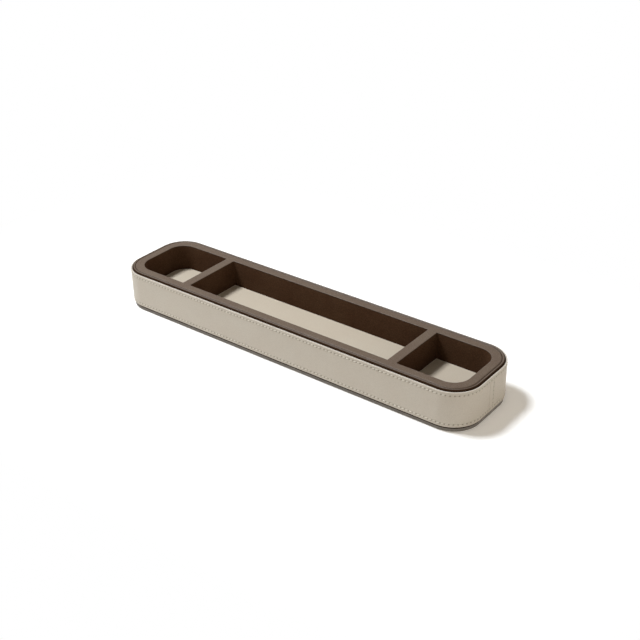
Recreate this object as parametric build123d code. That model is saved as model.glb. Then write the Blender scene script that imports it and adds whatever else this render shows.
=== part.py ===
from build123d import *
import math
import os

# Pen tray: a long leather-covered tray with rounded ends and three open bays.
# +X is the tray's right-hand end, -Y its front, and +Z up.
# The origin is the middle of the underside, on the table.
# All sizes are in millimetres.

# Overall size
tray_length = 320.0
tray_width = 71.0
tray_height = 32.5
outer_corner_radius = 22.0
end_bay_length = 49.6
bay_corner_radius = 13.0

# Boards and cards
base_board_thickness = 6.0
wall_board_thickness = 8.0
divider_board_thickness = 6.5
floor_card_thickness = 1.0
panel_card_thickness = 1.0
pad_thickness = 2.1

# Leathers
band_leather_thickness = 1.1
rim_leather_thickness = 0.6
lining_leather_thickness = 0.6
floor_leather_thickness = 0.6
panel_leather_thickness = 0.5

# The band and what lies behind it
band_height = 27.5
rim_turndown = 11.0
seam_place = -2.7
seam_lap = 7.5
seam_gap = 0.05

# Insets of the underside from the band's outer face
panel_inset = 1.0
pad_inset = 1.3

# Rim edge: the bead, the pressed crease inside it and the eased inner edge
bead_radius = 1.4
crease_inset = 3.55
crease_width = 1.2
crease_depth = 0.42
rim_inner_ease = 0.25

# Eased edges of the other leathers
band_edge_ease = 0.25
floor_edge_ease = 0.3
panel_edge_ease = 0.35

# Joints between the boards
end_board_length = 30.0
tongue_length = 5.0
tongue_thickness = 2.6
housing_depth = 2.0
seat_depth = 1.0

# Clearances
glue_line = 0.05
fit_clearance = 0.1
floor_clearance = 0.15
strip_end_gap = 0.1

# Insets of the wall's layers, counted inwards from the band's outer face
cover_inset = band_leather_thickness + glue_line
board_inset = cover_inset + rim_leather_thickness + glue_line
cavity_inset = board_inset + wall_board_thickness
bay_inset = cavity_inset + glue_line + lining_leather_thickness
cavity_corner_radius = bay_corner_radius + bay_inset - cavity_inset

# Heights of the layers, from the table up
panel_bottom = pad_thickness + glue_line
panel_card_bottom = panel_bottom + panel_leather_thickness + glue_line
panel_top = panel_card_bottom + panel_card_thickness
base_bottom = panel_top + glue_line
base_top = base_bottom + base_board_thickness
board_seat = base_top - seat_depth
board_bottom = board_seat + glue_line
board_top = tray_height - rim_leather_thickness - glue_line
floor_card_bottom = base_top + glue_line
floor_leather_bottom = floor_card_bottom + floor_card_thickness + glue_line
floor_top = floor_leather_bottom + floor_leather_thickness
band_bottom = base_bottom
band_top = band_bottom + band_height
turndown_bottom = tray_height - rim_turndown

# Places along the tray and across it
end_joint = tray_length / 2 - end_board_length
bay_half_width = tray_width / 2 - bay_inset
cavity_half_width = tray_width / 2 - cavity_inset
divider_half_thickness = divider_board_thickness / 2 + glue_line + lining_leather_thickness
bay_end = tray_length / 2 - bay_inset
divider_outer_face = bay_end - end_bay_length
divider_offset = divider_outer_face - divider_half_thickness
divider_inner_face = divider_offset - divider_half_thickness


def slab(face, bottom, top):
    """A flat face raised from one height to another."""
    return extrude(Pos(0, 0, bottom) * face, amount=top - bottom)


def tray_outline(inset):
    """The tray's plan outline, moved in from the band's outer face."""
    length = tray_length - 2 * inset
    width = tray_width - 2 * inset
    return RectangleRounded(length, width, outer_corner_radius - inset)


def cavity_outline(growth=0.0):
    """The outline of the wall boards' inner faces, all three bays in one."""
    length = 2 * (tray_length / 2 - cavity_inset + growth)
    width = 2 * (cavity_half_width + growth)
    return RectangleRounded(length, width, cavity_corner_radius + growth)


def block(x_low, x_high, y_low, y_high, bottom, top):
    """A plain box between six planes."""
    centre = Pos((x_low + x_high) / 2, (y_low + y_high) / 2, bottom)
    size = Rectangle(x_high - x_low, y_high - y_low)
    return extrude(centre * size, amount=top - bottom)


def bay_outline(bay, growth=0.0):
    """One bay's plan outline at the lining's inner face, grown outwards.

    The end bays are rounded at the tray's end and square at the divider.
    """
    half_width = bay_half_width + growth
    if bay == "middle":
        return Rectangle(2 * (divider_inner_face + growth), 2 * half_width)
    length = bay_end - divider_outer_face + 2 * growth
    centre = (bay_end + divider_outer_face) / 2
    face = Pos(centre, 0) * Rectangle(length, 2 * half_width)
    end_corners = face.vertices().group_by(Axis.X)[-1]
    face = fillet(end_corners, bay_corner_radius + growth)
    return face if bay == "right" else mirror(face, about=Plane.YZ)


def top_edges(solid):
    return solid.edges().group_by(Axis.Z)[-1]


def bottom_edges(solid):
    return solid.edges().group_by(Axis.Z)[0]


def eased(edges, size, thickness):
    """The solid that these edges belong to, with them bevelled by no more than its leather allows."""
    return chamfer(edges, min(size, 0.8 * thickness))


def base_board():
    """The board everything stands on.

    A seat is cut round its edge for the wall boards, and a groove across it for each divider.
    """
    seat_plate = slab(tray_outline(board_inset), base_bottom, board_seat)
    field = slab(cavity_outline(-fit_clearance), board_seat, base_top)
    board = seat_plate + field
    half_groove = divider_board_thickness / 2 + fit_clearance
    for side in (-1, 1):
        middle = side * divider_offset
        board -= block(
            middle - half_groove, middle + half_groove,
            -cavity_half_width, cavity_half_width,
            board_seat, base_top,
        )
    return board


def bead_bevel(radius):
    """The bevel that just touches an arc of this radius in a square corner."""
    return (2 - math.sqrt(2)) * radius


def wall_ring():
    """All four walls in one, with the outer top edge bevelled to sit under the bead."""
    ring = slab(tray_outline(board_inset), board_bottom, board_top)
    bevel = bead_bevel(bead_radius - rim_leather_thickness - glue_line)
    ring = chamfer(top_edges(ring), bevel)
    return ring - slab(cavity_outline(), board_bottom, board_top)


def tongues(clearance):
    """The four tongues between long and end boards, or their grooves with a clearance."""
    shapes = []
    wall_middle = tray_width / 2 - board_inset - wall_board_thickness / 2
    half_thickness = tongue_thickness / 2 + clearance
    reach = end_joint + tongue_length + clearance
    for x_side in (-1, 1):
        for y_side in (-1, 1):
            middle = y_side * wall_middle
            x_ends = sorted((x_side * end_joint, x_side * reach))
            shapes.append(block(
                *x_ends,
                middle - half_thickness, middle + half_thickness,
                board_bottom, board_top,
            ))
    return shapes


def long_wall_board(ring, y_side):
    """The front or back wall: a tongue at each end and a housing for each divider."""
    y_ends = sorted((0, y_side * tray_width / 2))
    board = ring & block(-end_joint, end_joint, *y_ends, board_bottom, board_top)
    for tongue in tongues(0.0):
        if tongue.center().Y * y_side > 0:
            board += tongue
    half_housing = divider_board_thickness / 2 + fit_clearance
    y_cut = sorted((y_side * cavity_half_width, y_side * (cavity_half_width + housing_depth)))
    for x_side in (-1, 1):
        middle = x_side * divider_offset
        board -= block(
            middle - half_housing, middle + half_housing,
            *y_cut,
            board_bottom, board_top,
        )
    return board


def end_wall_board(ring, x_side):
    """The rounded wall at one end, with a groove in each arm for the long board's tongue."""
    joint = end_joint + glue_line
    x_ends = sorted((x_side * joint, x_side * tray_length / 2))
    half_width = tray_width / 2
    board = ring & block(*x_ends, -half_width, half_width, board_bottom, board_top)
    for groove in tongues(fit_clearance):
        board -= groove
    return board


def divider_board(x_side):
    """A cross wall's board, standing in the base's groove and in the long walls' housings."""
    middle = x_side * divider_offset
    half_thickness = divider_board_thickness / 2
    reach = cavity_half_width + housing_depth - fit_clearance
    return block(
        middle - half_thickness, middle + half_thickness,
        -reach, reach,
        board_bottom, board_top,
    )


def bay_window(bay):
    """What a bay cuts from the rim leather: its outline, with the upper edge eased outwards."""
    ease = min(rim_inner_ease, 0.8 * rim_leather_thickness)
    opening = slab(bay_outline(bay), turndown_bottom, tray_height)
    flare = extrude(Pos(0, 0, tray_height - ease) * bay_outline(bay), amount=ease, taper=-45)
    return opening + flare


def crease_cutter():
    """A three-sided bar that follows the rim inside its bead, point down."""
    path = Pos(0, 0, tray_height) * tray_outline(crease_inset).face().outer_wire()
    start = Plane(origin=path @ 0, x_dir=(0, 0, 1), z_dir=path % 0)
    rise = crease_depth / 5
    half_width = crease_width / 2 * (1 + rise / crease_depth)
    bar = make_face(Polyline((-crease_depth, 0), (rise, half_width), (rise, -half_width), close=True))
    return sweep(start * bar, path=path)


def rim_leather():
    """The cover over all the walls, with a window for each bay.

    It is turned down outside behind the band, over a rounded bead.
    A crease is pressed along its top inside the bead.
    """
    cover = slab(tray_outline(cover_inset), turndown_bottom, tray_height)
    cover = fillet(top_edges(cover), bead_radius)
    inside = slab(
        tray_outline(cover_inset + rim_leather_thickness),
        turndown_bottom, tray_height - rim_leather_thickness,
    )
    inside = chamfer(top_edges(inside), bead_bevel(bead_radius - rim_leather_thickness))
    cover -= inside
    for bay in ("left", "middle", "right"):
        cover -= bay_window(bay)
    return cover - crease_cutter()


def bay_lining(bay):
    """The leather strip round a bay's walls, its two ends meeting at a divider's corner."""
    bottom = base_top + glue_line
    top = board_top
    strip = slab(bay_outline(bay, lining_leather_thickness), bottom, top)
    strip -= slab(bay_outline(bay), bottom, top)
    y_corner = -bay_half_width
    x_corner = divider_inner_face if bay == "middle" else divider_outer_face
    x_side = -1 if bay == "left" else 1
    y_ends = (y_corner, y_corner + strip_end_gap)
    thickness = 2 * lining_leather_thickness
    x_ends = sorted((x_side * x_corner - thickness, x_side * x_corner + thickness))
    return strip - block(*x_ends, *y_ends, bottom, top)


def floor_card(bay):
    """The stiff card under a bay's floor leather."""
    return slab(
        bay_outline(bay, -floor_clearance),
        floor_card_bottom, floor_card_bottom + floor_card_thickness,
    )


def floor_leather(bay):
    """The leather on a bay's floor, its edge eased where it turns down over the card."""
    sheet = slab(bay_outline(bay, -floor_clearance), floor_leather_bottom, floor_top)
    return eased(top_edges(sheet), floor_edge_ease, floor_leather_thickness)


def band_leather():
    """The strip round the outside, open at a slanted cut where its thinned ends lap."""
    band = slab(tray_outline(0.0), band_bottom, band_top)
    band = eased(top_edges(band) + bottom_edges(band), band_edge_ease, band_leather_thickness)
    band -= slab(tray_outline(band_leather_thickness), band_bottom, band_top)
    x_outer = tray_length / 2
    x_inner = x_outer - band_leather_thickness
    lap_slope = seam_lap / band_leather_thickness
    overrun = band_leather_thickness / 2
    half_gap = seam_gap * lap_slope / 2
    y_outer = seam_place - lap_slope * overrun
    y_inner = seam_place + seam_lap + lap_slope * overrun
    cut = make_face(Polyline(
        (x_outer + overrun, y_outer - half_gap),
        (x_outer + overrun, y_outer + half_gap),
        (x_inner - overrun, y_inner + half_gap),
        (x_inner - overrun, y_inner - half_gap),
        close=True,
    ))
    return band - slab(cut, band_bottom, band_top)


def band_backing():
    """The strip behind the band, level with the turned-down rim leather above it."""
    top = turndown_bottom - glue_line
    ring = slab(tray_outline(cover_inset), base_bottom, top)
    return ring - slab(tray_outline(cover_inset + rim_leather_thickness), base_bottom, top)


def bottom_panel_leather():
    """The leather under the tray, wrapped up round the edge of its card."""
    skin = slab(tray_outline(panel_inset), panel_bottom, panel_top)
    skin = eased(bottom_edges(skin), panel_edge_ease, panel_leather_thickness)
    hollow_bottom = panel_bottom + panel_leather_thickness
    return skin - slab(tray_outline(panel_inset + panel_leather_thickness), hollow_bottom, panel_top)


def bottom_panel_card():
    """The card that the bottom leather is wrapped on."""
    inset = panel_inset + panel_leather_thickness + glue_line
    return slab(tray_outline(inset), panel_card_bottom, panel_top)


def base_pad():
    """The soft pad that the tray stands on, set in from the edge."""
    return slab(tray_outline(pad_inset), 0, pad_thickness)


def all_parts():
    """Every piece of the tray, by the name of its file."""
    ring = wall_ring()
    parts = {
        "base_board": base_board(),
        "front_wall_board": long_wall_board(ring, -1),
        "back_wall_board": long_wall_board(ring, 1),
        "left_end_board": end_wall_board(ring, -1),
        "right_end_board": end_wall_board(ring, 1),
        "left_divider_board": divider_board(-1),
        "right_divider_board": divider_board(1),
        "rim_leather": rim_leather(),
        "band_leather": band_leather(),
        "band_backing": band_backing(),
        "bottom_panel_card": bottom_panel_card(),
        "bottom_panel_leather": bottom_panel_leather(),
        "base_pad": base_pad(),
    }
    for bay in ("left", "middle", "right"):
        parts[bay + "_bay_lining"] = bay_lining(bay)
        parts[bay + "_floor_card"] = floor_card(bay)
        parts[bay + "_floor_leather"] = floor_leather(bay)
    return parts


os.makedirs("parts", exist_ok=True)
for name, shape in all_parts().items():
    shape.label = name
    export_step(shape, os.path.join("parts", name + ".step"))
    print(name, round(shape.volume))
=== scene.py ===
import math

import bmesh
import bpy
import numpy as np
from mathutils import Matrix, Vector


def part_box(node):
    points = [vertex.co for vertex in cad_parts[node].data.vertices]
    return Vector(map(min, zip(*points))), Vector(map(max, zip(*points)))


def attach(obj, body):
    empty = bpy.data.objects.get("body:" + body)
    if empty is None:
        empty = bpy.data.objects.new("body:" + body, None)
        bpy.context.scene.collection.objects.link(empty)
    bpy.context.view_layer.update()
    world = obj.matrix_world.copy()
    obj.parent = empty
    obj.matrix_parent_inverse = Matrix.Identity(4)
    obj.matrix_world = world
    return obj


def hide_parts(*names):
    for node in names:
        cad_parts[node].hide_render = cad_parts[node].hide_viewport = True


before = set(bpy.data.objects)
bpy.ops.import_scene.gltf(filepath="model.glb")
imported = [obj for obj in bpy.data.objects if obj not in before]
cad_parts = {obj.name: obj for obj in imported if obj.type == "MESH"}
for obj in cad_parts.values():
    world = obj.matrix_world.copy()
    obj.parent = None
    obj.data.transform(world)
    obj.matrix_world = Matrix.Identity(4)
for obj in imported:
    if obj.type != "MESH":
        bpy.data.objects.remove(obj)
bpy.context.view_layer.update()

# A leather pen tray: a brown rim and lining, cream bay floors and a stitched cream band.
# Lengths are in metres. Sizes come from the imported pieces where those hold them.
MM = 0.001

band_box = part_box("band_leather")
rim_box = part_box("rim_leather")
lining_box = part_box("left_bay_lining")
middle_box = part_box("middle_bay_lining")
floor_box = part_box("left_floor_leather")
panel_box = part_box("bottom_panel_leather")
pad_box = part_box("base_pad")

TRAY_LENGTH = band_box[1].x - band_box[0].x
TRAY_WIDTH = band_box[1].y - band_box[0].y
BAND_BOTTOM = band_box[0].z
BAND_TOP = band_box[1].z
RIM_TOP = rim_box[1].z
RIM_TURNDOWN_BOTTOM = rim_box[0].z
RIM_INSET = band_box[1].x - rim_box[1].x
LINING_BOTTOM = lining_box[0].z
LINING_TOP = lining_box[1].z
FLOOR_BOTTOM = floor_box[0].z
FLOOR_TOP = floor_box[1].z

OUTER_CORNER_RADIUS = 22.0 * MM
BAY_CORNER_RADIUS = 13.0 * MM
SQUARE_CORNER_RADIUS = 0.4 * MM
SMALLEST_ROUNDING = 0.01 * MM
LEAST_ROUND_RADIUS = 1 * MM
ARC_STEP = math.radians(5)
BAY_STRAIGHT_STEP = 4 * MM
BAND_THICKNESS = 1.1 * MM
RIM_THICKNESS = 0.6 * MM
LINING_THICKNESS = 0.6 * MM

BAY_HALF_WIDTH = lining_box[1].y - LINING_THICKNESS
END_BAY_OUTER = -lining_box[0].x - LINING_THICKNESS
END_BAY_INNER = -lining_box[1].x + LINING_THICKNESS
MIDDLE_BAY_HALF_LENGTH = middle_box[1].x - LINING_THICKNESS

# Stitching: STITCH_GAP is the share of a pitch that stays bare at each end of a stitch
STITCH_PITCH = 3.1 * MM
TOP_ROW = BAND_TOP - 2.7 * MM
BOTTOM_ROW = BAND_BOTTOM + 2.15 * MM
SEAM_Y = -2.7 * MM
SEAM_ROW_FROM_EDGE = 4.85 * MM
SEAM_UNDERLAP = 3.0 * MM
THREAD_RADIUS = 0.36 * MM
SEAM_THREAD_RADIUS = 0.26 * MM
STITCH_GAP = 0.18
STITCH_SLANT = 0.2 * MM


# Outlines: points and outward normals round a closed plan outline

class Outline:
    """A closed outline with corner arcs, walked counter-clockwise, that can be offset."""

    def __init__(self, points, normals, corner_sides=None, corner_radii=None):
        self.points = np.array(points, float)
        self.normals = np.array(normals, float)
        count = len(self.points)
        if corner_sides is None:
            corner_sides = np.zeros((count, 2))
            corner_radii = np.full(count, np.inf)
        self.corner_sides = np.array(corner_sides, float)
        self.corner_radii = np.array(corner_radii, float)

    def grown(self, growth):
        """The outline moved outwards by one distance, or by one for each point.

        A corner drawn in by more than its radius becomes a square one.
        """
        growth = np.broadcast_to(growth, len(self.points))
        reach = np.maximum(growth, SMALLEST_ROUNDING - self.corner_radii)
        square = reach - growth
        moved = self.points + self.normals * reach[:, None]
        return moved - self.corner_sides * square[:, None]


def walk_round(x_low, x_high, y_low, y_high, radii):
    """The arcs and straight runs of a rectangle with its own radius at each corner.

    The walk starts half way up the right-hand side. The radii are for the corners in the
    order they are met. Each piece is (length, function of distance -> point, normal).
    """
    corners = [(x_high, y_high, 0), (x_low, y_high, 90), (x_low, y_low, 180), (x_high, y_low, 270)]
    centres = []
    for (x, y, start), radius in zip(corners, radii):
        x_side = 1 if x == x_high else -1
        y_side = 1 if y == y_high else -1
        centre = Vector((x - x_side * radius, y - y_side * radius))
        centres.append((centre, radius, math.radians(start)))

    def straight(a, b, angle):
        normal = Vector((math.cos(angle), math.sin(angle)))
        reach = (b - a).length
        return reach, lambda d: (a + (b - a) * (d / reach), normal)

    def arc(centre, radius, start):
        def at(d):
            angle = start + d / radius
            normal = Vector((math.cos(angle), math.sin(angle)))
            return centre + normal * radius, normal
        return radius * math.pi / 2, at

    pieces = []
    y_middle = (y_low + y_high) / 2
    previous = Vector((x_high, y_middle))
    for centre, radius, start in centres:
        first = centre + Vector((math.cos(start), math.sin(start))) * radius
        pieces.append(straight(previous, first, start))
        pieces.append(arc(centre, radius, start))
        end = start + math.pi / 2
        previous = centre + Vector((math.cos(end), math.sin(end))) * radius
    pieces.append(straight(previous, Vector((x_high, y_middle)), 0.0))
    return pieces


def sample_walk(pieces, places):
    """The outline's points and normals at given distances along a walk."""
    total = sum(length for length, _ in pieces)
    points, normals = [], []
    for place in places:
        left = place % total
        for length, at in pieces:
            if left <= length:
                break
            left -= length
        point, normal = at(min(left, length))
        points.append(tuple(point))
        normals.append(tuple(normal))
    return np.array(points), np.array(normals)


def plain_outline(x_low, x_high, y_low, y_high, radii, straight_step):
    """An outline with points at every run's end, along its arcs and along its long runs."""
    places, corner_sides, corner_radii = [], [], []
    start = 0.0
    sides = ((1, 1), (-1, 1), (-1, -1), (1, -1))
    pieces = walk_round(x_low, x_high, y_low, y_high, radii)
    for number, (length, _) in enumerate(pieces):
        is_arc = number % 2 == 1
        if is_arc:
            radius = length / (math.pi / 2)
            count = max(3, round(math.pi / 2 / ARC_STEP)) if radius > LEAST_ROUND_RADIUS else 3
        else:
            count = max(1, math.ceil(length / straight_step))
        places += [start + length * step / count for step in range(count)]
        start += length
        # A run's first point belongs to the corner that it leaves
        leaving = [number // 2 - 1] if number > 0 and not is_arc else []
        corners = [number // 2] * count if is_arc else leaving + [None] * (count - len(leaving))
        corner_sides += [(0, 0) if corner is None else sides[corner] for corner in corners]
        corner_radii += [np.inf if corner is None else radii[corner] for corner in corners]
    return Outline(*sample_walk(pieces, places), corner_sides, corner_radii)


TRAY_SIDES = (-TRAY_LENGTH / 2, TRAY_LENGTH / 2, -TRAY_WIDTH / 2, TRAY_WIDTH / 2)
TRAY_RADII = [OUTER_CORNER_RADIUS] * 4
TRAY_WALK = walk_round(*TRAY_SIDES, TRAY_RADII)
TRAY_PERIMETER = sum(length for length, _ in TRAY_WALK)


def tray_outline(straight_step):
    """The band's outer face in plan."""
    return plain_outline(*TRAY_SIDES, TRAY_RADII, straight_step)


def bay_outline(bay):
    """A bay's outline at the lining's inner face."""
    round_corner = BAY_CORNER_RADIUS
    square = SQUARE_CORNER_RADIUS
    if bay == "middle":
        ends = (-MIDDLE_BAY_HALF_LENGTH, MIDDLE_BAY_HALF_LENGTH)
        radii = [square] * 4
    elif bay == "right":
        ends = (END_BAY_INNER, END_BAY_OUTER)
        radii = [round_corner, square, square, round_corner]
    else:
        ends = (-END_BAY_OUTER, -END_BAY_INNER)
        radii = [square, round_corner, round_corner, square]
    return plain_outline(*ends, -BAY_HALF_WIDTH, BAY_HALF_WIDTH, radii, BAY_STRAIGHT_STEP)


# Mesh building

SHARP_FROM = math.radians(38.0)


def add_object(name, data):
    """A new object in the scene, for a mesh, a lamp or a camera."""
    added = bpy.data.objects.new(name, data)
    bpy.context.scene.collection.objects.link(added)
    return added


def add_smooth_piece(name, data):
    """An object for a mesh whose faces shade softly into each other."""
    for polygon in data.polygons:
        polygon.use_smooth = True
    return add_object(name, data)


class MeshBuilder:
    """Collects loops of points, the bands of faces between them and flat fills."""

    def __init__(self):
        self.mesh = bmesh.new()

    def loop(self, plan, heights):
        """A loop of vertices over a plan outline, at one height or one for each point."""
        heights = np.broadcast_to(heights, len(plan))
        return [self.mesh.verts.new((x, y, z)) for (x, y), z in zip(plan, heights)]

    def bridge(self, first, second, closed=True):
        """Faces between two loops that run the same way. The second lies outside or above."""
        count = len(first)
        steps = count if closed else count - 1
        for i in range(steps):
            j = (i + 1) % count
            self.mesh.faces.new((first[i], first[j], second[j], second[i]))

    def rows(self, loops):
        """Faces from each loop to the next."""
        for first, second in zip(loops, loops[1:]):
            self.bridge(first, second)

    def fill(self, *loops):
        """A flat face, in triangles, between an outer loop and any loops inside it."""
        edges = []
        for loop in loops:
            for i, vertex in enumerate(loop):
                following = loop[(i + 1) % len(loop)]
                edge = self.mesh.edges.get((vertex, following))
                edges.append(edge or self.mesh.edges.new((vertex, following)))
        bmesh.ops.triangle_fill(self.mesh, edges=edges, use_beauty=True)

    def piece(self, name):
        """The finished object, with outward normals and soft shading up to its sharp edges."""
        bmesh.ops.recalc_face_normals(self.mesh, faces=self.mesh.faces[:])
        data = bpy.data.meshes.new(name)
        self.mesh.to_mesh(data)
        self.mesh.free()
        piece = add_smooth_piece(name, data)
        data.set_sharp_from_angle(angle=SHARP_FROM)
        return piece


def ring_loops(builder, outline, profile):
    """A loop for each (growth, height) of a profile, round one outline."""
    return [builder.loop(outline.grown(growth), height) for growth, height in profile]


def closed_form(outline, profile):
    """A body round one outline, with a flat fill at the profile's start and at its end."""
    builder = MeshBuilder()
    loops = ring_loops(builder, outline, profile)
    builder.rows(loops)
    builder.fill(loops[0])
    builder.fill(loops[-1])
    return builder


def rounded_corner(growth, height, radius, start, end, steps=4):
    """Points of an arc in a profile, as (growth, height), between two angles in degrees."""
    angles = np.radians(np.linspace(start, end, steps + 1))
    return [(growth + radius * math.cos(a), height + radius * math.sin(a)) for a in angles]


def mark_points(piece, name, values):
    """One number for each vertex, which a material reads by its name."""
    layer = piece.data.attributes.new(name, "FLOAT", "POINT")
    layer.data.foreach_set("value", np.array(values, np.float32))


def dress(piece, material, slot, *nodes):
    """A finished piece gets its material and stands for the nodes it shows."""
    piece.data.materials.clear()
    piece.data.materials.append(material)
    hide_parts(*nodes)
    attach(piece, "root")
    return piece


# Shader node groups

def new_group(name, inputs, outputs):
    """A shader node group with float inputs and outputs, and its two ends."""
    group = bpy.data.node_groups.new(name, "ShaderNodeTree")
    for socket_name, default in inputs:
        socket = group.interface.new_socket(
            socket_name, in_out="INPUT", socket_type="NodeSocketFloat")
        socket.default_value = default
    for socket_name in outputs:
        group.interface.new_socket(
            socket_name, in_out="OUTPUT", socket_type="NodeSocketFloat")
    start = group.nodes.new("NodeGroupInput")
    end = group.nodes.new("NodeGroupOutput")
    return group, start, end


def math_node(tree, operation, first, second=None, third=None):
    """The output of one sum. Each value is a number or another node's output."""
    node = tree.nodes.new("ShaderNodeMath")
    node.operation = operation
    for index, value in enumerate((first, second, third)):
        if value is None:
            continue
        if isinstance(value, (int, float)):
            node.inputs[index].default_value = value
        else:
            tree.links.new(value, node.inputs[index])
    return node.outputs[0]


def vector_math(tree, operation, vector, other):
    """The output of one vector sum. The other value is a tuple or another node's output."""
    node = tree.nodes.new("ShaderNodeVectorMath")
    node.operation = operation
    tree.links.new(vector, node.inputs[0])
    socket = node.inputs["Scale"] if operation == "SCALE" else node.inputs[1]
    if isinstance(other, tuple):
        socket.default_value = other
    else:
        tree.links.new(other, socket)
    return node.outputs["Vector"]


def smooth_step(tree, value, low, high, out_low=0.0, out_high=1.0):
    """A soft change from one output to another while the value goes from low to high."""
    node = tree.nodes.new("ShaderNodeMapRange")
    node.interpolation_type = "SMOOTHSTEP"
    tree.links.new(value, node.inputs["Value"])
    node.inputs["From Min"].default_value = low
    node.inputs["From Max"].default_value = high
    node.inputs["To Min"].default_value = out_low
    node.inputs["To Max"].default_value = out_high
    return node.outputs["Result"]


def noise(tree, vector, scale, detail=3.0, roughness=0.55):
    """A noise node. Its scale, in lumps per metre, is a number or another node's output."""
    node = tree.nodes.new("ShaderNodeTexNoise")
    tree.links.new(vector, node.inputs["Vector"])
    if isinstance(scale, (int, float)):
        node.inputs["Scale"].default_value = scale
    else:
        tree.links.new(scale, node.inputs["Scale"])
    node.inputs["Detail"].default_value = detail
    node.inputs["Roughness"].default_value = roughness
    return node


def cell_distance(tree, feature, vector, scale):
    """The distance to the nearest cell's middle, or to its edge, by the feature named."""
    node = tree.nodes.new("ShaderNodeTexVoronoi")
    node.feature = feature
    tree.links.new(vector, node.inputs["Vector"])
    tree.links.new(scale, node.inputs["Scale"])
    return node.outputs["Distance"]


def object_position(tree):
    """The place on a piece, in metres from the tray's middle."""
    return tree.nodes.new("ShaderNodeTexCoord").outputs["Object"]


def leather_grain_group():
    """Fine grain: irregular cells with soft valleys between them, pores, and slow mottling.

    Height is for a bump, Valley marks the lines between the cells, and Mottle drifts slowly.
    """
    group, start, end = new_group(
        "leather_grain",
        [("Cells per metre", 1300.0), ("Unevenness", 0.5)],
        ["Height", "Valley", "Mottle"],
    )
    links = group.links
    position = object_position(group)
    cells = start.outputs["Cells per metre"]

    wander = noise(group, position, math_node(group, "MULTIPLY", cells, 0.45), detail=2.0)
    centred = vector_math(group, "SUBTRACT", wander.outputs["Color"], (0.5, 0.5, 0.5))
    reach = math_node(group, "DIVIDE", start.outputs["Unevenness"], cells)
    bent = vector_math(group, "ADD", position, vector_math(group, "SCALE", centred, reach))

    edges = cell_distance(group, "DISTANCE_TO_EDGE", bent, cells)
    domes = smooth_step(group, edges, 0.0, 0.28)
    pores = cell_distance(group, "F1", bent, math_node(group, "MULTIPLY", cells, 1.7))
    pits = smooth_step(group, pores, 0.08, 0.25)

    fine = noise(group, position, math_node(group, "MULTIPLY", cells, 3.0), detail=2.0)
    height = math_node(group, "MULTIPLY", domes, 0.7)
    height = math_node(group, "MULTIPLY_ADD", pits, 0.2, height)
    height = math_node(group, "MULTIPLY_ADD", fine.outputs["Fac"], 0.25, height)
    mottle = noise(group, position, 55.0, detail=4.0, roughness=0.6)

    links.new(height, end.inputs["Height"])
    links.new(math_node(group, "SUBTRACT", 1.0, domes), end.inputs["Valley"])
    links.new(smooth_step(group, mottle.outputs["Fac"], 0.3, 0.7), end.inputs["Mottle"])
    return group


def felt_group():
    """Pressed wool: short fibres at all angles, matted in soft lumps."""
    group, start, end = new_group("pressed_felt", [("Fibres per metre", 2500.0)], ["Height", "Tone"])
    position = object_position(group)
    fibres = start.outputs["Fibres per metre"]
    layers = []
    for squeeze in ((1.0, 0.18, 0.6), (0.18, 1.0, 0.6), (0.7, 0.7, 0.2)):
        stretched = vector_math(group, "MULTIPLY", position, squeeze)
        layers.append(noise(group, stretched, fibres, detail=2.0).outputs["Fac"])
    along_or_across = math_node(group, "MAXIMUM", layers[0], layers[1])
    matted = math_node(group, "MAXIMUM", along_or_across, layers[2])
    lumps = noise(group, position, 180.0).outputs["Fac"]
    tone = math_node(group, "MULTIPLY_ADD", lumps, 0.5, math_node(group, "MULTIPLY", matted, 0.5))
    group.links.new(smooth_step(group, matted, 0.45, 0.8), end.inputs["Height"])
    group.links.new(tone, end.inputs["Tone"])
    return group


def board_fibre_group():
    """Fibreboard and greyboard: fine flecks with finer ones in them."""
    group, start, end = new_group("board_fibre", [("Flecks per metre", 1500.0)], ["Height", "Fleck"])
    scale = start.outputs["Flecks per metre"]
    flecks = noise(group, object_position(group), scale, detail=5.0, roughness=0.7)
    group.links.new(flecks.outputs["Fac"], end.inputs["Height"])
    group.links.new(smooth_step(group, flecks.outputs["Fac"], 0.35, 0.65), end.inputs["Fleck"])
    return group


LEATHER_GRAIN = leather_grain_group()
PRESSED_FELT = felt_group()
BOARD_FIBRE = board_fibre_group()


# Materials: colours are linear red, green and blue

BROWN = (0.101, 0.060, 0.032)
LINING_BROWN = (0.071, 0.0345, 0.0172)
CREAM = (0.598, 0.5345, 0.450)
FLOOR_CREAM = (0.64, 0.547, 0.430)
CREAM_EDGE = (0.655, 0.59, 0.515)
# Painted shade in the stitch holes
HOLE_PAINTED_SHADE = (0.27, 0.23, 0.175)
THREAD = (0.655, 0.605, 0.52)
# Near-black brown: painted shade on the rim's bead, crease, turned-down edge and bays' edges; also
# the bottom panel's dark leather, there partly painted shade under the band
DARK_BROWN_AND_PAINTED_SHADE = (0.031, 0.0145, 0.0055)
FELT_DARK = (0.135, 0.122, 0.108)
FELT_PALE = (0.30, 0.27, 0.24)

VALLEY_SHARE = 0.35
VALLEY_ROUGHNESS = 0.15


def new_material(name):
    """A material with its node tree and its main shader."""
    material = bpy.data.materials.new(name)
    material.use_nodes = True
    tree = material.node_tree
    return material, tree, tree.nodes["Principled BSDF"]


def use_group(tree, group, **values):
    """A group placed in a material, with its own values for the inputs that are named."""
    node = tree.nodes.new("ShaderNodeGroup")
    node.node_tree = group
    for name, value in values.items():
        node.inputs[name.replace("_", " ")].default_value = value
    return node


def blend_colours(tree, factor, first, second):
    """A mix of two colours. Each is a plain colour or another mix's output."""
    node = tree.nodes.new("ShaderNodeMix")
    node.data_type = "RGBA"
    tree.links.new(factor, node.inputs["Factor"])
    sockets = [s for s in node.inputs if s.type == "RGBA"]
    for socket, colour in zip(sockets, (first, second)):
        if isinstance(colour, tuple):
            socket.default_value = (*colour, 1.0)
        else:
            tree.links.new(colour, socket)
    return [s for s in node.outputs if s.type == "RGBA"][0]


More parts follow.
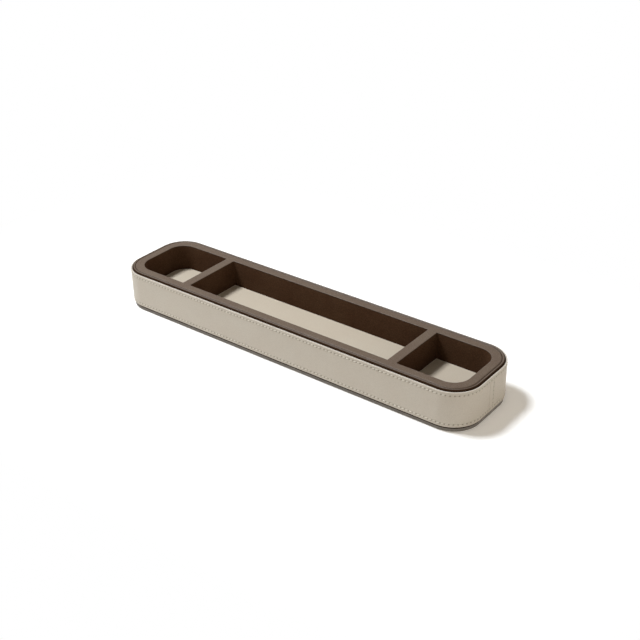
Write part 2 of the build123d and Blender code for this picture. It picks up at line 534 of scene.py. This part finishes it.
def shade(colour, amount):
    """The colour made darker, or paler where the amount is above 1."""
    return tuple(min(1.0, channel * amount) for channel in colour)


def warmed(colour, amount):
    """The colour a little deeper and redder, or paler and greyer where the amount is negative."""
    red, green, blue = colour
    return red * (1 - 0.6 * amount), green * (1 - amount), blue * (1 - 1.2 * amount)


def attribute(tree, name):
    """The numbers that a mesh carries by this name."""
    node = tree.nodes.new("ShaderNodeAttribute")
    node.attribute_name = name
    return node.outputs["Fac"]


def bump(tree, height, distance):
    """A surface raised by up to this distance where the height is 1."""
    node = tree.nodes.new("ShaderNodeBump")
    node.inputs["Strength"].default_value = 1.0
    node.inputs["Distance"].default_value = distance
    tree.links.new(height, node.inputs["Height"])
    return node.outputs["Normal"]


def leather(name, colour, cells, grain_depth, roughness, shine, valley_tone, mottling, marks=()):
    """Grained leather: mottled, and darker in the valleys of its grain.

    Each mark is the name of an attribute and the colour that the leather takes where it is 1.
    """
    material, tree, principled = new_material(name)
    principled.inputs["Specular IOR Level"].default_value = shine
    grain = use_group(tree, LEATHER_GRAIN, Cells_per_metre=cells)
    deep = warmed(colour, mottling)
    pale = warmed(colour, -mottling)
    base = blend_colours(tree, grain.outputs["Mottle"], deep, pale)
    valley = math_node(tree, "MULTIPLY", grain.outputs["Valley"], VALLEY_SHARE)
    base = blend_colours(tree, valley, base, shade(colour, valley_tone))
    for mark, mark_colour in marks:
        base = blend_colours(tree, attribute(tree, mark), base, mark_colour)
    tree.links.new(base, principled.inputs["Base Color"])
    rough = math_node(tree, "MULTIPLY_ADD", grain.outputs["Valley"], VALLEY_ROUGHNESS, roughness)
    tree.links.new(rough, principled.inputs["Roughness"])
    tree.links.new(bump(tree, grain.outputs["Height"], grain_depth), principled.inputs["Normal"])
    return material


def thread_material():
    """Waxed linen thread with fine fibres."""
    material, tree, principled = new_material("waxed_thread")
    fibres = noise(tree, object_position(tree), 6000.0, detail=2.0).outputs["Fac"]
    tone = smooth_step(tree, fibres, 0.35, 0.65)
    colour = blend_colours(tree, tone, shade(THREAD, 0.85), shade(THREAD, 1.1))
    tree.links.new(colour, principled.inputs["Base Color"])
    principled.inputs["Roughness"].default_value = 0.55
    tree.links.new(bump(tree, fibres, 0.02 * MM), principled.inputs["Normal"])
    return material


def felt_material():
    """Grey-brown pressed felt."""
    material, tree, principled = new_material("dark_felt")
    felt = use_group(tree, PRESSED_FELT)
    colour = blend_colours(tree, felt.outputs["Tone"], FELT_DARK, FELT_PALE)
    tree.links.new(colour, principled.inputs["Base Color"])
    principled.inputs["Roughness"].default_value = 0.95
    principled.inputs["Sheen Weight"].default_value = 0.3
    tree.links.new(bump(tree, felt.outputs["Height"], 0.15 * MM), principled.inputs["Normal"])
    return material


def board_material(name, dark, light, flecks):
    """Raw board between two tones, with this many flecks to the metre."""
    material, tree, principled = new_material(name)
    fibre = use_group(tree, BOARD_FIBRE, Flecks_per_metre=flecks)
    colour = blend_colours(tree, fibre.outputs["Fleck"], dark, light)
    tree.links.new(colour, principled.inputs["Base Color"])
    principled.inputs["Roughness"].default_value = 0.85
    tree.links.new(bump(tree, fibre.outputs["Height"], 0.04 * MM), principled.inputs["Normal"])
    return material


# The brown calf turns near-black where the rim's 'crease' mark is 1: painted shade in the crease, on
# the bead's side, on the turned-down edge and at the bays' edges
rim_leather = leather(
    "brown_calf", BROWN, cells=950.0, grain_depth=0.08 * MM, roughness=0.46, shine=0.5,
    valley_tone=0.5, mottling=0.12, marks=[("crease", DARK_BROWN_AND_PAINTED_SHADE)],
)
# A darker, duller copy of the brown calf: painted shade on rim faces deep in shade, and the bottom
# panel's wrap
dark_leather_and_painted_shade = leather(
    "dark_calf_and_painted_shade", DARK_BROWN_AND_PAINTED_SHADE, cells=1100.0, grain_depth=0.04 * MM, roughness=0.7, shine=0.07,
    valley_tone=0.62, mottling=0.05,
)
lining_leather = leather(
    "matt_brown_calf", LINING_BROWN, cells=750.0, grain_depth=0.17 * MM, roughness=0.8, shine=0.07,
    valley_tone=0.4, mottling=0.12,
)
# The cream calf darkens in each stitch hole: painted shade
cream_leather = leather(
    "cream_calf", CREAM, cells=1050.0, grain_depth=0.06 * MM, roughness=0.5, shine=0.35,
    valley_tone=0.8, mottling=0.02,
    marks=[("cut_edge", CREAM_EDGE), ("hole_painted_shade", HOLE_PAINTED_SHADE)],
)
floor_leather = leather(
    "cream_floor_calf", FLOOR_CREAM, cells=1300.0, grain_depth=0.045 * MM, roughness=0.6, shine=0.3,
    valley_tone=0.84, mottling=0.02,
)
thread = thread_material()
felt = felt_material()
fibreboard = board_material("fibreboard", (0.40, 0.28, 0.17), (0.52, 0.39, 0.25), 1200.0)
greyboard = board_material("greyboard", (0.30, 0.28, 0.25), (0.42, 0.40, 0.36), 900.0)


# Band: one strip round the tray, its ends lapped and stitched at the right-hand end

SEAM_START = SEAM_Y % TRAY_PERIMETER
ROW_STITCHES = round(TRAY_PERIMETER / STITCH_PITCH)
PITCH = TRAY_PERIMETER / ROW_STITCHES
FIRST_HOLE = SEAM_ROW_FROM_EDGE - PITCH
HOLE_RADIUS = 0.46 * MM
HOLE_DEPTH = 0.50 * MM
SEAM_HOLE_SHARE = 0.7
ROW_GROOVE_DEPTH = 0.10 * MM
ROW_GROOVE_WIDTH = 0.6 * MM
EDGE_SWELL = 0.03 * MM
EDGE_SWELL_WIDTH = 0.8 * MM
BAND_EDGE_RADIUS = 0.34 * MM
LARGEST_EDGE_SHARE = 0.45

# The lap: the other end starts to sink before the edge, over a short run, and is then pared
SEAM_STEP = 0.11 * MM
SINK_BEFORE_EDGE = 1.6 * MM
SINK_LENGTH = 1.7 * MM
PARED_LENGTH = 3.2 * MM
LAP_ROUND_DEPTH = 0.03 * MM
LAP_ROUND_LENGTH = 0.10 * MM

# Where the strip has points: in shares of a pitch from a hole, and otherwise in metres
PLACES_FROM_HOLE = np.array([0.0, 0.24, 0.48, 0.95, 2.05, 2.52, 2.76]) / 3.0
PLACES_FROM_EDGE = np.array([0.0, 0.06, 0.15, 0.3, 0.6, 1.1]) * MM
PLACES_BY_LAP = np.array([-0.25, 0.12]) * MM
HEIGHTS_FROM_ROW = np.array([-1.1, -0.6, -0.36, -0.18, 0, 0.18, 0.36, 0.6, 1.1]) * MM
HEIGHT_FROM_SEAM_HOLE = 0.25 * MM

# The waves of the strip: share of the depth, waves round the tray, change with height, start
WAVE_DEPTH = 0.05 * MM
STRIP_WAVES = ((0.45, 11, 130, 0.0), (0.35, 17, 0, 1.3), (0.2, 41, 260, 0.0))


def seam_holes():
    """Heights of the holes of the upright row at the seam, between the two long rows."""
    count = round((TOP_ROW - BOTTOM_ROW) / PITCH)
    return [BOTTOM_ROW + (TOP_ROW - BOTTOM_ROW) * k / count for k in range(count + 1)]


def band_places():
    """Distances along the strip from the lapped edge, closest together round each hole."""
    end = TRAY_PERIMETER + SEAM_UNDERLAP
    places = [*PLACES_FROM_EDGE, *(TRAY_PERIMETER + PLACES_BY_LAP), end]
    for number in range(ROW_STITCHES + 2):
        places += [*(FIRST_HOLE + (number + PLACES_FROM_HOLE) * PITCH)]
    return np.array(sorted(place for place in places if place <= end))


def band_heights():
    """Heights of the rows on the band's face, closest together round each line of holes."""
    low = BAND_BOTTOM + BAND_EDGE_RADIUS
    high = BAND_TOP - BAND_EDGE_RADIUS
    heights = [low, high]
    for row in (BOTTOM_ROW, TOP_ROW):
        heights += [*(row + HEIGHTS_FROM_ROW)]
    for hole in seam_holes()[1:-1]:
        heights += [hole - HEIGHT_FROM_SEAM_HOLE, hole, hole + HEIGHT_FROM_SEAM_HOLE]
        heights.append(hole + PITCH / 2)
    return np.array(sorted({round(height, 6) for height in heights if low <= height <= high}))


def hole_mark(places, height):
    """1 in the middle of each stitch hole, fading to 0 round it. It sets how deep each hole is
    pressed in and how much painted shade the band takes there.
    """
    mark = np.zeros(len(places))
    along = (places - FIRST_HOLE + PITCH / 2) % PITCH - PITCH / 2
    along = np.where(places < FIRST_HOLE - PITCH / 2, PITCH / 2, along)
    for row in (BOTTOM_ROW, TOP_ROW):
        mark += np.exp(-(along ** 2 + (height - row) ** 2) / HOLE_RADIUS ** 2)
    from_seam_row = places - SEAM_ROW_FROM_EDGE
    for hole in seam_holes()[1:-1]:
        distance = from_seam_row ** 2 + (height - hole) ** 2
        mark += SEAM_HOLE_SHARE * np.exp(-distance / HOLE_RADIUS ** 2)
    return np.minimum(mark, 1.0)


def pressed_in(places, height):
    """How far the stitching draws the face in, at one height and every place along the strip."""
    depth = HOLE_DEPTH * hole_mark(places, height)
    for row in (BOTTOM_ROW, TOP_ROW):
        depth += ROW_GROOVE_DEPTH * math.exp(-((height - row) / ROW_GROOVE_WIDTH) ** 2)
    return depth


def slow_wave(places, height):
    """The small unevenness of a strip glued by hand."""
    turn = 2 * math.pi / TRAY_PERIMETER
    wave = np.zeros(len(places))
    for share, count, slope, start in STRIP_WAVES:
        wave += share * np.sin(places * turn * count + height * slope + start)
    return WAVE_DEPTH * wave


def sunk_under_lap(places):
    """How far the face of the strip's other end goes down and is pared away under the lap."""
    under = np.clip((places - TRAY_PERIMETER + SINK_BEFORE_EDGE) / SINK_LENGTH, 0, 1)
    pared = np.clip((places - TRAY_PERIMETER) / PARED_LENGTH, 0, 1)
    return SEAM_STEP * under ** 2 * (3 - 2 * under) + (BAND_THICKNESS - SEAM_STEP) * pared


def band_face(places, height):
    """How far the strip's outer face stands out from its nominal place."""
    swell = 0.0
    for edge in (BAND_BOTTOM, BAND_TOP):
        swell += EDGE_SWELL * math.exp(-((height - edge) / EDGE_SWELL_WIDTH) ** 2)
    out = swell + slow_wave(places, height) - pressed_in(places, height)
    edge_round = LAP_ROUND_DEPTH * np.exp(-(places / LAP_ROUND_LENGTH) ** 2)
    return out - edge_round - sunk_under_lap(places)


def build_band():
    """The strip as one closed body: rows over its face, its upper edge, its back and its foot.

    Each row is (growth, height, cut edge mark), with one growth for each place along the strip.
    """
    places = band_places()
    outline = Outline(*sample_walk(TRAY_WALK, places + SEAM_START))
    builder = MeshBuilder()
    face = band_heights()
    pared = np.clip(places / PARED_LENGTH, 0, 1)
    back = SEAM_STEP + (BAND_THICKNESS - SEAM_STEP) * pared
    thickness = back - sunk_under_lap(places)
    radius = np.minimum(BAND_EDGE_RADIUS, LARGEST_EDGE_SHARE * thickness)
    rows = [(band_face(places, height), height, 0.0) for height in face]
    top = rows[-1][0]
    for growth, height in rounded_corner(-1, -1, 1, 0, 90)[1:]:
        rows.append((top + growth * radius, BAND_TOP + height * radius, 1.0))
    rows.append((-back + radius, BAND_TOP, 1.0))
    rows.append((-back, BAND_TOP - radius, 1.0))
    rows.append((-back, BAND_BOTTOM + radius, 0.0))
    rows.append((-back + radius, BAND_BOTTOM, 1.0))
    bottom = rows[0][0]
    for growth, height in rounded_corner(-1, 1, 1, -90, 0)[:-1]:
        rows.append((bottom + growth * radius, BAND_BOTTOM + height * radius, 1.0))
    loops = [builder.loop(outline.grown(growth), height) for growth, height, _ in rows]
    for first, second in zip(loops, loops[1:] + loops[:1]):
        builder.bridge(first, second, closed=False)
    for index in (0, -1):
        builder.mesh.faces.new([loop[index] for loop in loops])
    piece = builder.piece("band_leather_strip")
    cut_edge = np.repeat([edge for _, _, edge in rows], len(places))
    # Painted shade for the stitch holes, for each row of the face
    holes = np.zeros((len(rows), len(places)))
    for number, height in enumerate(face):
        holes[number] = hole_mark(places, height)
    mark_points(piece, "cut_edge", cut_edge)
    mark_points(piece, "hole_painted_shade", holes.ravel())
    return dress(piece, cream_leather, "cream_leather", "band_leather")


# Thread: the stitches along both edges of the band and up its seam

THREAD_SIDES = 8
THREAD_SEGMENTS = 12
DIP_LENGTH = 0.16
DIP_DEPTH = 0.30 * MM
DIP_RISE = 0.42 * MM
TWIST_TURNS = 1.6
PLY_DEPTH = 0.13
SEAM_STITCH_SLANT = 0.14 * MM
UPWARDS = np.array([0.0, 0.0, 1.0])


def stitch_rings(starts, ends, outwards, sideways, thread_radius):
    """Twisted two-ply tubes, one for each stitch, that dip into a hole at either end."""
    along = np.linspace(0, 1, THREAD_SEGMENTS + 1)
    rise = np.clip(np.minimum(along, 1 - along) / DIP_LENGTH, 0, 1)
    lift = DIP_RISE * np.sin(rise * math.pi / 2) - DIP_DEPTH
    around = np.arange(THREAD_SIDES) * 2 * math.pi / THREAD_SIDES
    twist = 2 * math.pi * TWIST_TURNS * along
    plies = 1 + PLY_DEPTH * np.cos(2 * (around[None, :] - twist[:, None]))
    radius = thread_radius * plies
    rings = []
    for start, end, out, side in zip(starts, ends, outwards, sideways):
        centre = start + (end - start) * along[:, None] + out * lift[:, None]
        ring = (
            centre[:, None, :]
            + out * (radius * np.cos(around))[..., None]
            + side * (radius * np.sin(around))[..., None]
        )
        rings.append(ring)
    return np.array(rings)


def build_thread(name, rings):
    """One piece of many closed tubes, from their rings of points. It stands for no node."""
    count, segments, sides, _ = rings.shape
    vertices = rings.reshape(-1, 3)
    faces = []
    for tube in range(count):
        base = tube * segments * sides
        for ring in range(segments - 1):
            for k in range(sides):
                a = base + ring * sides + k
                b = base + ring * sides + (k + 1) % sides
                faces.append((a, b, b + sides, a + sides))
        faces.append(tuple(base + k for k in reversed(range(sides))))
        last = base + (segments - 1) * sides
        faces.append(tuple(last + k for k in range(sides)))
    data = bpy.data.meshes.new(name)
    data.from_pydata([tuple(v) for v in vertices], [], faces)
    data.update()
    builder = bmesh.new()
    builder.from_mesh(data)
    bmesh.ops.recalc_face_normals(builder, faces=builder.faces[:])
    builder.to_mesh(data)
    builder.free()
    piece = add_smooth_piece(name, data)
    piece.data.materials.append(thread)
    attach(piece, "root")
    return piece


def surface_points(places, height):
    """Points on the band's face at one height, with their outward directions."""
    points, normals = sample_walk(TRAY_WALK, places + SEAM_START)
    plan = points + normals * band_face(places, height)[:, None]
    return (
        np.column_stack([plan, np.full(len(places), height)]),
        np.column_stack([normals, np.zeros(len(places))]),
    )


def build_row_thread(name, row):
    """The stitches of one long row, each a little aslant as saddle stitches lie."""
    holes = FIRST_HOLE + PITCH * np.arange(ROW_STITCHES)
    inset = STITCH_GAP * PITCH
    starts, out_a = surface_points(holes + inset, row)
    ends, out_b = surface_points(holes + PITCH - inset, row)
    starts = starts - UPWARDS * STITCH_SLANT
    ends = ends + UPWARDS * STITCH_SLANT
    outwards = (out_a + out_b) / 2
    sideways = np.broadcast_to(UPWARDS, outwards.shape)
    return build_thread(name, stitch_rings(starts, ends, outwards, sideways, THREAD_RADIUS))


def build_seam_thread():
    """The upright row of stitches beside the band's lapped edge."""
    holes = seam_holes()
    place = np.array([SEAM_ROW_FROM_EDGE])
    starts, ends, outwards, sideways = [], [], [], []
    for low, high in zip(holes, holes[1:]):
        inset = STITCH_GAP * (high - low)
        start, out = surface_points(place, low + inset)
        end, _ = surface_points(place, high - inset)
        side = np.cross(UPWARDS, out[0])
        starts.append(start[0] - side * SEAM_STITCH_SLANT)
        ends.append(end[0] + side * SEAM_STITCH_SLANT)
        outwards.append(out[0])
        sideways.append(side)
    rings = stitch_rings(starts, ends, outwards, sideways, SEAM_THREAD_RADIUS)
    return build_thread("band_seam_thread", rings)


# Rim: one cover over all the walls, with a bead, a crease and a window for each bay

RIM_STRAIGHT_STEP = 3 * MM
BEAD_RADIUS = 1.4 * MM
BEAD_STEPS = 12
CREASE_INSET = 3.55 * MM
CREASE_WIDTH = 1.9 * MM
CREASE_DEPTH = 0.55 * MM
CREASE_ROWS = 13
CREASE_POWER = 1.3
RIM_FLAT_INSET = 5.2 * MM
INNER_EDGE_REACH = 1.0 * MM
INNER_EDGE_DROP = 0.5 * MM
INNER_EDGE_STEPS = 6
INNER_EDGE_FLAT = 0.5 * MM
INNER_EDGE_EASE = 0.05 * MM
BAYS = ("left", "middle", "right")

# Painted shade on the rim: on the bead by degrees up from its side, in the crease, at the bays'
# edges
BEAD_FULL_SHADE_BELOW = 58.0
PLAIN_ABOVE = 88.0
CREASE_PAINTED_SHADE = 0.75
CREASE_SHADE_POWER = 1.2
INNER_EDGE_PAINTED_SHADE = 0.9
INNER_EDGE_SHADE_BELOW = 0.2
# Faces whose painted shade is above this take the near-black leather
SHADE_LEATHER_FROM = 0.6


def crease_profile():
    """The top from the bead's end across the crease, as (growth, height, painted shade)."""
    rows = []
    for share in np.linspace(-1, 1, CREASE_ROWS):
        drop = CREASE_DEPTH * (0.5 + 0.5 * math.cos(share * math.pi)) ** CREASE_POWER
        growth = -(CREASE_INSET + share * CREASE_WIDTH / 2)
        # The crease gets painted shade, deepest at its bottom
        tone = CREASE_PAINTED_SHADE * (drop / CREASE_DEPTH) ** CREASE_SHADE_POWER
        rows.append((growth, RIM_TOP - drop, tone))
    return rows


def build_rim():
    """The cover: from its underside round the turned-down edge and the bead to the windows. It
    carries painted shade on the turned-down edge, the bead's side, the crease and the windows'
    edges.
    """
    outer = tray_outline(RIM_STRAIGHT_STEP)
    bays = {bay: bay_outline(bay) for bay in BAYS}
    builder = MeshBuilder()
    marks = []

    def add_loop(outline, growth, height, mark=0.0):
        marks.extend([mark] * len(outline.points))
        return builder.loop(outline.grown(growth), height)

    underside = RIM_TOP - RIM_THICKNESS
    back = RIM_INSET + RIM_THICKNESS
    bead_centre = -(RIM_INSET + BEAD_RADIUS)
    inner_bead = BEAD_RADIUS - RIM_THICKNESS
    profile = [(-(back + inner_bead), underside, 0.0)]
    inner_arc = rounded_corner(bead_centre, RIM_TOP - BEAD_RADIUS, inner_bead, 90, 0)
    profile += [(g, z, 0.0) for g, z in inner_arc[1:]]
    # The turned-down edge behind the band is in full painted shade
    profile.append((-back, RIM_TURNDOWN_BOTTOM, 1.0))
    profile.append((-RIM_INSET, RIM_TURNDOWN_BOTTOM, 1.0))
    bead = rounded_corner(
        bead_centre, RIM_TOP - BEAD_RADIUS, BEAD_RADIUS, 0, 90, steps=BEAD_STEPS)
    # The bead's side gets painted shade, full low down and fading out towards its top
    for step, (growth, height) in enumerate(bead):
        angle = 90 * step / BEAD_STEPS
        tone = (PLAIN_ABOVE - angle) / (PLAIN_ABOVE - BEAD_FULL_SHADE_BELOW)
        profile.append((growth, height, min(1.0, max(0.0, tone))))
    profile += crease_profile()
    profile.append((-RIM_FLAT_INSET, RIM_TOP, 0.0))
    loops = [add_loop(outer, *row) for row in profile]
    builder.rows(loops)

    top_loops, under_loops = [], []
    window = [(INNER_EDGE_REACH + INNER_EDGE_FLAT, RIM_TOP, 0.0)]
    # The bays' inner edges get painted shade on their lower part and down to the underside
    for across, up in rounded_corner(1, -1, 1, 90, 180, steps=INNER_EDGE_STEPS):
        tone = INNER_EDGE_PAINTED_SHADE if across < INNER_EDGE_SHADE_BELOW else 0.0
        window.append((across * INNER_EDGE_REACH, RIM_TOP + up * INNER_EDGE_DROP, tone))
    window.append((0.0, underside + INNER_EDGE_EASE, INNER_EDGE_PAINTED_SHADE))
    window.append((INNER_EDGE_EASE, underside, INNER_EDGE_PAINTED_SHADE))
    for bay in BAYS:
        ring = [add_loop(bays[bay], *row) for row in window]
        builder.rows(ring)
        top_loops.append(ring[0])
        under_loops.append(ring[-1])
    builder.fill(loops[-1], *top_loops)
    builder.fill(loops[0], *under_loops)
    piece = builder.piece("rim_cover")
    # The 'crease' mark carries the rim's painted shade
    mark_points(piece, "crease", marks)
    piece = dress(piece, rim_leather, "brown_leather", "rim_leather")
    # Faces deep in painted shade take the near-black leather
    piece.data.materials.append(dark_leather_and_painted_shade)
    for polygon in piece.data.polygons:
        if min(marks[vertex] for vertex in polygon.vertices) > SHADE_LEATHER_FROM:
            polygon.material_index = 1
    return piece


# Bays: the lining strips and the floor leathers

LINING_EASE = 0.12 * MM
FLOOR_GAP = 0.15 * MM
FLOOR_EDGE_RADIUS = 0.45 * MM
FLOOR_EDGE_STEPS = 5
FLOOR_EDGE_FLAT = 0.8 * MM


def build_lining(bay):
    """The strip round one bay, its upper edge eased under the rim leather."""
    profile = [
        (0.0, LINING_BOTTOM),
        (0.0, LINING_TOP - LINING_EASE),
        (0.3 * LINING_EASE, LINING_TOP - 0.3 * LINING_EASE),
        (LINING_EASE, LINING_TOP),
        (LINING_THICKNESS, LINING_TOP),
        (LINING_THICKNESS, LINING_BOTTOM),
    ]
    builder = MeshBuilder()
    loops = ring_loops(builder, bay_outline(bay), profile)
    builder.rows(loops + loops[:1])
    piece = builder.piece(bay + "_lining_strip")
    return dress(piece, lining_leather, "brown_leather", bay + "_bay_lining")


def build_floor(bay):
    """The leather on one bay's floor, rounded down at its edge where it wraps the card."""
    radius = FLOOR_EDGE_RADIUS
    inner = -FLOOR_GAP - radius
    profile = [(inner, FLOOR_BOTTOM), (-FLOOR_GAP, FLOOR_BOTTOM)]
    profile += rounded_corner(
        inner, FLOOR_TOP - radius, radius, 0, 90, steps=FLOOR_EDGE_STEPS)
    profile.append((inner - FLOOR_EDGE_FLAT, FLOOR_TOP))
    piece = closed_form(bay_outline(bay), profile).piece(bay + "_floor_sheet")
    return dress(piece, floor_leather, "cream_leather", bay + "_floor_leather")


# Underside: the wrapped panel and the felt pad

UNDERSIDE_STEP = 6 * MM
UNDERSIDE_FLAT = 2 * MM
PANEL_SKIN = 0.5 * MM
PANEL_EDGE_RADIUS = 0.42 * MM
PANEL_EASE = 0.1 * MM
PAD_EDGE_RADIUS = 0.3 * MM
PAD_SPREAD = 0.5 * MM


def build_bottom_panel():
    """The leather round the bottom panel: skin below, turned up round the card's edge."""
    low, high = panel_box[0].z, panel_box[1].z
    outer = panel_box[1].x - band_box[1].x
    radius = PANEL_EDGE_RADIUS
    profile = [(outer - UNDERSIDE_FLAT, low)]
    profile += rounded_corner(outer - radius, low + radius, radius, -90, 0)
    profile += [
        (outer, high - PANEL_EASE),
        (outer - PANEL_EASE, high),
        (outer - PANEL_SKIN, high),
        (outer - PANEL_SKIN, low + PANEL_SKIN),
        (outer - UNDERSIDE_FLAT, low + PANEL_SKIN),
    ]
    piece = closed_form(tray_outline(UNDERSIDE_STEP), profile).piece("bottom_panel_wrap")
    # The wrap takes the near-black leather; its darkness under the band is partly painted shade
    return dress(piece, dark_leather_and_painted_shade, "brown_leather", "bottom_panel_leather")


def build_pad():
    """The felt the tray stands on, its cut edge soft and pressed out a little at the foot."""
    low, high = pad_box[0].z, pad_box[1].z
    outer = pad_box[1].x - band_box[1].x
    radius = PAD_EDGE_RADIUS
    profile = [(outer - UNDERSIDE_FLAT, low)]
    profile += rounded_corner(outer + PAD_SPREAD - radius, low + radius, radius, -90, 0)
    profile += rounded_corner(outer - radius, high - radius, radius, 0, 90)
    profile.append((outer - UNDERSIDE_FLAT, high))
    piece = closed_form(tray_outline(UNDERSIDE_STEP), profile).piece("felt_pad")
    return dress(piece, felt, "pad_felt", "base_pad")


build_band()
build_row_thread("band_top_thread", TOP_ROW)
build_row_thread("band_bottom_thread", BOTTOM_ROW)
build_seam_thread()
build_rim()
for bay_name in BAYS:
    build_lining(bay_name)
    build_floor(bay_name)
build_bottom_panel()
build_pad()

# The boards and cards inside keep their own shapes
BOARD_NODES = (
    "base_board", "front_wall_board", "back_wall_board", "left_end_board", "right_end_board",
    "left_divider_board", "right_divider_board",
)
CARD_NODES = (
    "left_floor_card", "middle_floor_card", "right_floor_card", "band_backing", "bottom_panel_card",
)
for nodes, node_material in ((BOARD_NODES, fibreboard), (CARD_NODES, greyboard)):
    for node in nodes:
        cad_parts[node].data.materials.clear()
        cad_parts[node].data.materials.append(node_material)


# Table: its own colour near the tray, and plain white from a little way off

TABLE_HALF_SIDE = 4.0
TABLE_WHITE = (0.85, 0.85, 0.85)
TABLE_LIFT = (0.19, 0.173, 0.15)
WHITE_FROM = 0.05
WHITE_TO = 0.20
WHITE = (1.0, 1.0, 1.0)
BLACK = (0.0, 0.0, 0.0)


def straight_look(tree):
    """1 for a camera ray and for what metal or glass shows of the surroundings, otherwise 0."""
    light_path = tree.nodes.new("ShaderNodeLightPath")
    glossy = light_path.outputs["Is Glossy Ray"]
    through = light_path.outputs["Is Transmission Ray"]
    mirrored = math_node(tree, "MAXIMUM", glossy, through)
    return math_node(tree, "MAXIMUM", light_path.outputs["Is Camera Ray"], mirrored)


def distance_from_tray(tree):
    """How far a place on the table lies outside the tray's rectangle, in metres."""
    place = tree.nodes.new("ShaderNodeSeparateXYZ")
    tree.links.new(object_position(tree), place.inputs["Vector"])
    squares = []
    for axis, half in (("X", TRAY_LENGTH / 2), ("Y", TRAY_WIDTH / 2)):
        reach = math_node(tree, "ABSOLUTE", place.outputs[axis])
        outside = math_node(tree, "MAXIMUM", math_node(tree, "SUBTRACT", reach, half), 0.0)
        squares.append(math_node(tree, "MULTIPLY", outside, outside))
    return math_node(tree, "SQRT", math_node(tree, "ADD", *squares))


def build_table_top():
    """A plain white table top that keeps the tray's shadow and runs out into a white background."""
    data = bpy.data.meshes.new("table_top")
    half = TABLE_HALF_SIDE
    corners = [(-half, -half, 0), (half, -half, 0), (half, half, 0), (-half, half, 0)]
    data.from_pydata(corners, [], [(0, 1, 2, 3)])
    table = add_object("table_top", data)
    material, tree, principled = new_material("table_white")
    principled.inputs["Roughness"].default_value = 0.9
    principled.inputs["Specular IOR Level"].default_value = 0.0
    looked_at = straight_look(tree)
    far = smooth_step(tree, distance_from_tray(tree), WHITE_FROM, WHITE_TO)
    near_or_far = blend_colours(tree, far, WHITE, BLACK)
    base = blend_colours(tree, looked_at, TABLE_WHITE, near_or_far)
    tree.links.new(base, principled.inputs["Base Color"])
    glow = blend_colours(tree, far, TABLE_LIFT, WHITE)
    tree.links.new(glow, principled.inputs["Emission Color"])
    tree.links.new(looked_at, principled.inputs["Emission Strength"])
    data.materials.append(material)
    return table


build_table_top()


# Light: a pale room that is brightest low down, and a soft lamp high up on the left

ROOM_LOW = 0.74
ROOM_HIGH = 0.10
ROOM_FADE_FROM = 0.34
ROOM_FADE_TO = 0.72
ROOM_TINT = (1.0, 0.92, 0.80)
RIGHT_SIDE_GAIN = 0.62
KEY_PLACE = Vector((-0.64, -0.235, 1.40))
KEY_SIDE = 0.332
KEY_POWER = 23.2
KEY_TINT = (0.90, 0.95, 1.0)


def build_room():
    """Warm diffuse light, weak from above and strongest from the right, and a white background."""
    world = bpy.data.worlds.new("white_room")
    bpy.context.scene.world = world
    world.use_nodes = True
    tree = world.node_tree
    direction = tree.nodes.new("ShaderNodeTexCoord").outputs["Generated"]
    split = tree.nodes.new("ShaderNodeSeparateXYZ")
    tree.links.new(direction, split.inputs["Vector"])
    height = smooth_step(
        tree, split.outputs["Z"], ROOM_FADE_FROM, ROOM_FADE_TO, ROOM_LOW, ROOM_HIGH)
    side = math_node(tree, "MULTIPLY_ADD", split.outputs["X"], RIGHT_SIDE_GAIN, 1.0)
    level = math_node(tree, "MULTIPLY", height, side)
    seen = straight_look(tree)
    background = tree.nodes["Background"]
    tree.links.new(blend_colours(tree, seen, ROOM_TINT, WHITE), background.inputs["Color"])
    strength = tree.nodes.new("ShaderNodeMix")
    tree.links.new(seen, strength.inputs["Factor"])
    tree.links.new(level, strength.inputs["A"])
    strength.inputs["B"].default_value = 1.0
    tree.links.new(strength.outputs["Result"], background.inputs["Strength"])


def build_key_lamp():
    """A square soft lamp, turned to the middle of the tray."""
    key = bpy.data.lights.new("key_light", "AREA")
    key.shape = "SQUARE"
    key.size = KEY_SIDE
    key.energy = KEY_POWER
    key.color = KEY_TINT
    lamp = add_object("key_light", key)
    lamp.location = KEY_PLACE
    lamp.rotation_mode = "QUATERNION"
    lamp.rotation_quaternion = KEY_PLACE.to_track_quat("Z", "Y")


build_room()
build_key_lamp()


# Camera: placed as the photograph was taken, for a square picture 640 pixels wide

PICTURE_WIDTH = 640
SENSOR_WIDTH = 36.0
FOCAL_PIXELS = 1124.36
CAMERA_AZIMUTH = math.radians(38.452)
CAMERA_ELEVATION = math.radians(29.702)
CAMERA_ROLL = math.radians(-1.247)
CAMERA_DISTANCE = 813.34 * MM
CAMERA_TARGET = Vector((22.124, -9.646, 32.68)) * MM


def build_camera():
    """The camera, turned to its target and then rolled a little."""
    data = bpy.data.cameras.new("camera")
    data.sensor_width = SENSOR_WIDTH
    data.lens = FOCAL_PIXELS / PICTURE_WIDTH * SENSOR_WIDTH
    data.clip_start = 0.01
    data.clip_end = 50.0
    camera = add_object("camera", data)
    back = Vector((
        math.sin(CAMERA_AZIMUTH) * math.cos(CAMERA_ELEVATION),
        -math.cos(CAMERA_AZIMUTH) * math.cos(CAMERA_ELEVATION),
        math.sin(CAMERA_ELEVATION),
    ))
    level_right = Vector((math.cos(CAMERA_AZIMUTH), math.sin(CAMERA_AZIMUTH), 0.0))
    level_up = back.cross(level_right)
    right = level_right * math.cos(CAMERA_ROLL) + level_up * math.sin(CAMERA_ROLL)
    up = back.cross(right)
    turn = Matrix((right, up, back)).transposed().to_4x4()
    camera.matrix_world = Matrix.Translation(CAMERA_TARGET + back * CAMERA_DISTANCE) @ turn
    bpy.context.scene.camera = camera


build_camera()
bpy.context.scene.view_settings.view_transform = "Standard"
